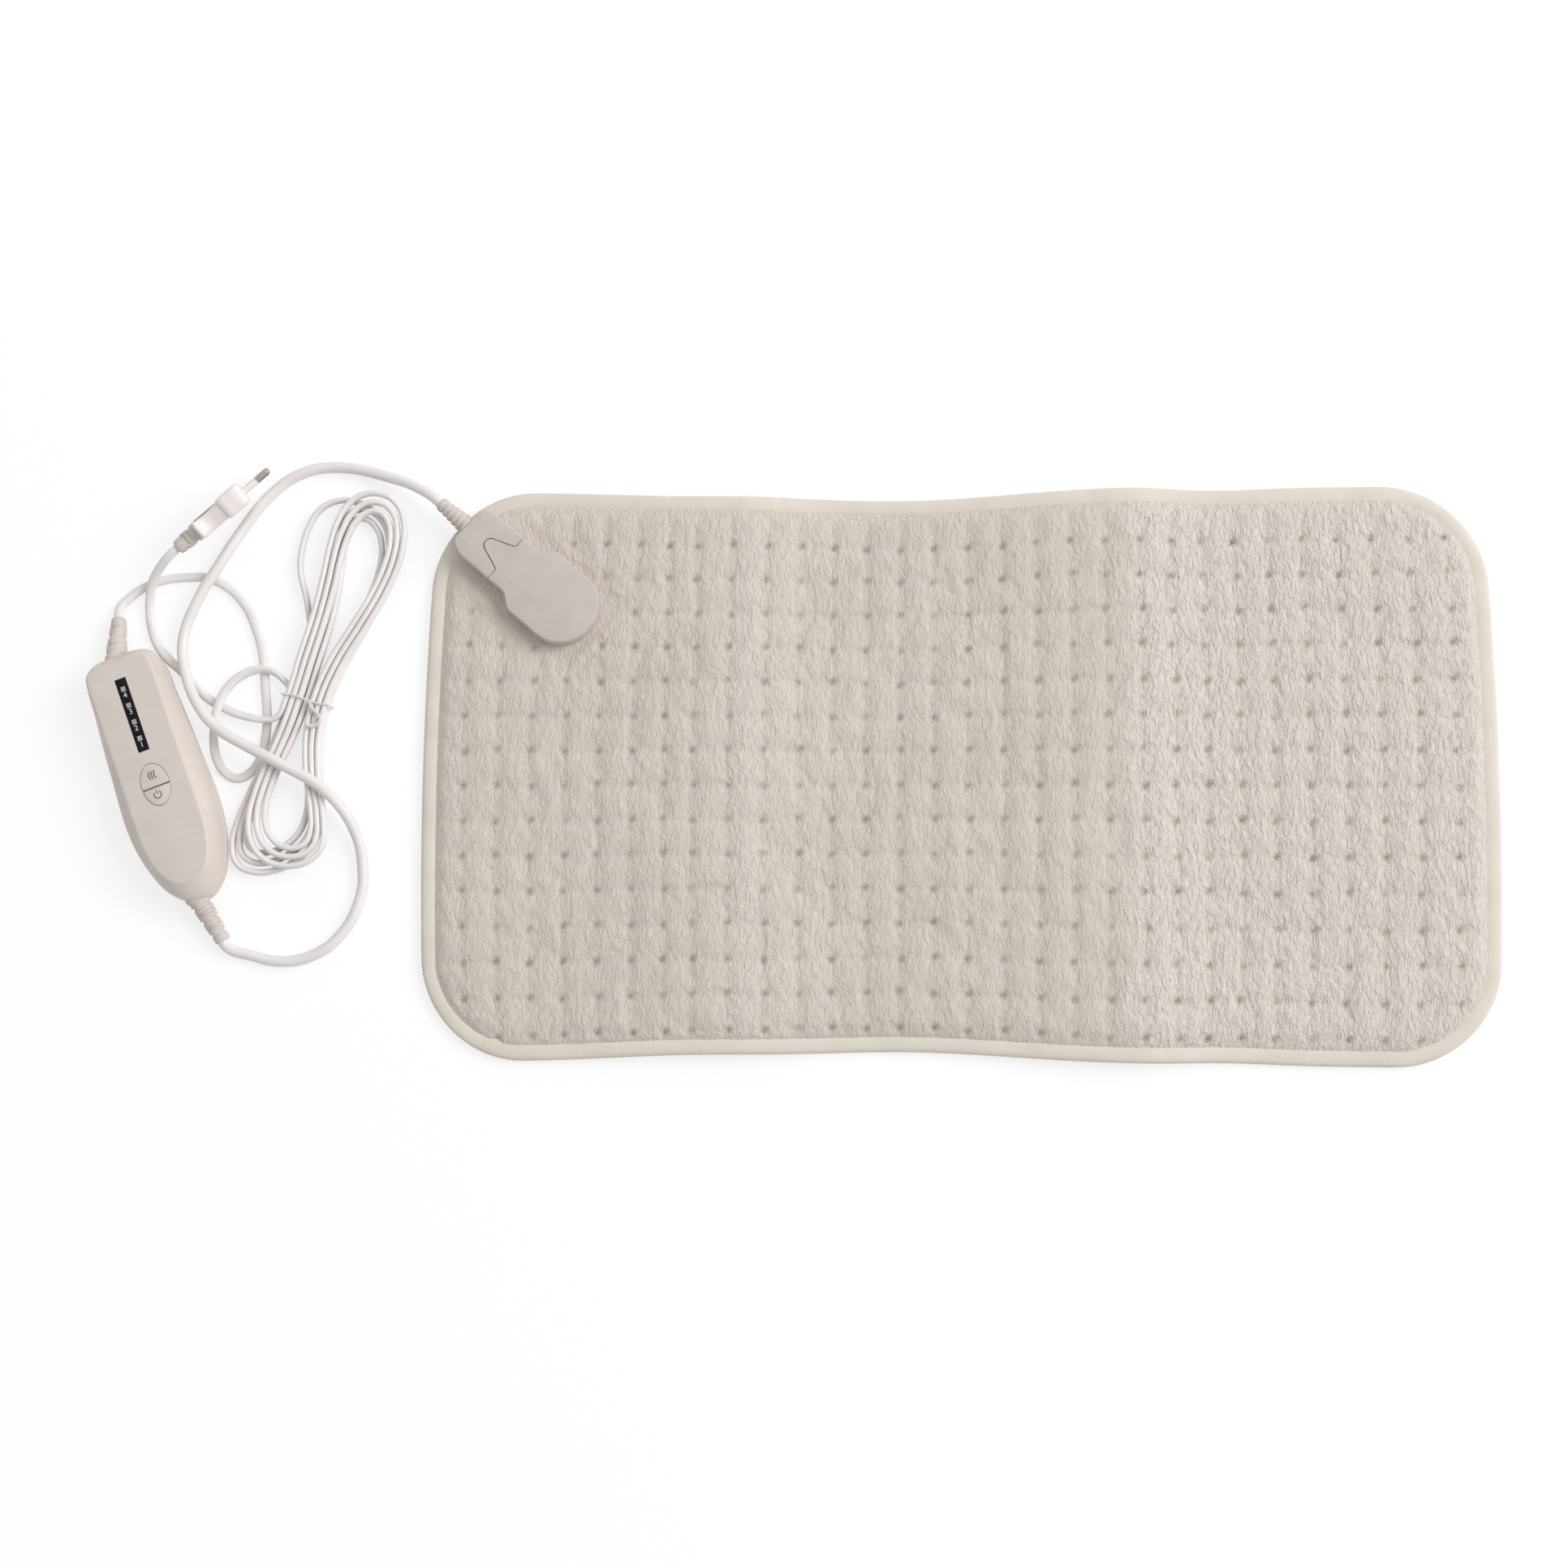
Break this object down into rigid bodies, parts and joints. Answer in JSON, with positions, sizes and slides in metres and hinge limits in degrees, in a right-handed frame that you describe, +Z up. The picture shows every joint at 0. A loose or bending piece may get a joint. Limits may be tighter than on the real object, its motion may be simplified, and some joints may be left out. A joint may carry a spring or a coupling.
{
  "type": "heating pad with controller",
  "caption": "Tufted fleece heating pad with a plug-in cord set: hand controller with a level display and heat and power buttons, and a mains plug on a tied cord.",
  "frame": {"origin": "middle of the pad's underside, on the floor", "axes": "+X along the pad's long side, +Y towards its top edge where the socket is, +Z up"},
  "size_m": [0.8046, 0.351, 0.0348],
  "materials": {
    "fleece": "soft plush fleece",
    "tape": "rib-knit tape",
    "felt": "felt",
    "wire": "matt",
    "shell": "satin",
    "connector_shell": "satin",
    "soft_grip": "satin",
    "cord": "satin",
    "window": "gloss",
    "board": "matt",
    "component": "matt",
    "lamp": "gloss",
    "metal": "bright"
  },
  "bodies": {
    "pad": {"rear_cover": "fleece", "element_carrier": "felt", "heating_wire": "wire", "overheat_thermostat": "component", "front_cover": "fleece", "edge_binding": "tape", "socket_base": "connector_shell", "socket_cover": "connector_shell", "contact_sleeve_1": "metal", "contact_sleeve_2": "metal", "contact_sleeve_3": "metal"},
    "cord_set": {"connector_lower_shell": "connector_shell", "connector_upper_shell": "connector_shell", "contact_pin_1": "metal", "contact_pin_2": "metal", "contact_pin_3": "metal", "connector_strain_relief": "soft_grip", "controller_bottom_shell": "shell", "controller_top_shell": "shell", "display_window": "window", "shell_screw_1": "metal", "shell_screw_2": "metal", "shell_screw_3": "metal", "shell_screw_4": "metal", "circuit_board": "board", "triac": "component", "capacitor": "component", "microcontroller": "component", "fuse": "lamp", "level_led_1": "lamp", "level_led_2": "lamp", "level_led_3": "lamp", "level_led_4": "lamp", "heat_switch": "component", "power_switch": "component", "upper_strain_relief": "soft_grip", "lower_strain_relief": "soft_grip", "plug_body": "shell", "plug_pin_1": "metal", "plug_pin_2": "metal", "pin_sleeve_1": "soft_grip", "pin_sleeve_2": "soft_grip", "plug_strain_relief": "soft_grip", "mains_cord_hank": "cord", "hank_tie": "cord", "pad_cord": "cord", "mains_cord_lead": "cord", "mains_cord_tail": "cord"},
    "heat_key": {"heat_button": "shell", "heat_plunger": "metal"},
    "power_key": {"power_button": "shell", "power_plunger": "metal"}
  },
  "joints": [
    {"name": "connector_unplug", "type": "slide", "parent": "pad", "child": "cord_set", "axis": [-0.7604, 0.6494, 0], "range_m": [0, 0.022]},
    {"name": "heat_button_press", "type": "slide", "parent": "cord_set", "child": "heat_key", "axis": [0, 0, -1], "range_m": [0, 0.0007], "stiffness_N_per_m": 1500},
    {"name": "power_button_press", "type": "slide", "parent": "cord_set", "child": "power_key", "axis": [0, 0, -1], "range_m": [0, 0.0007], "stiffness_N_per_m": 1500}
  ]
}
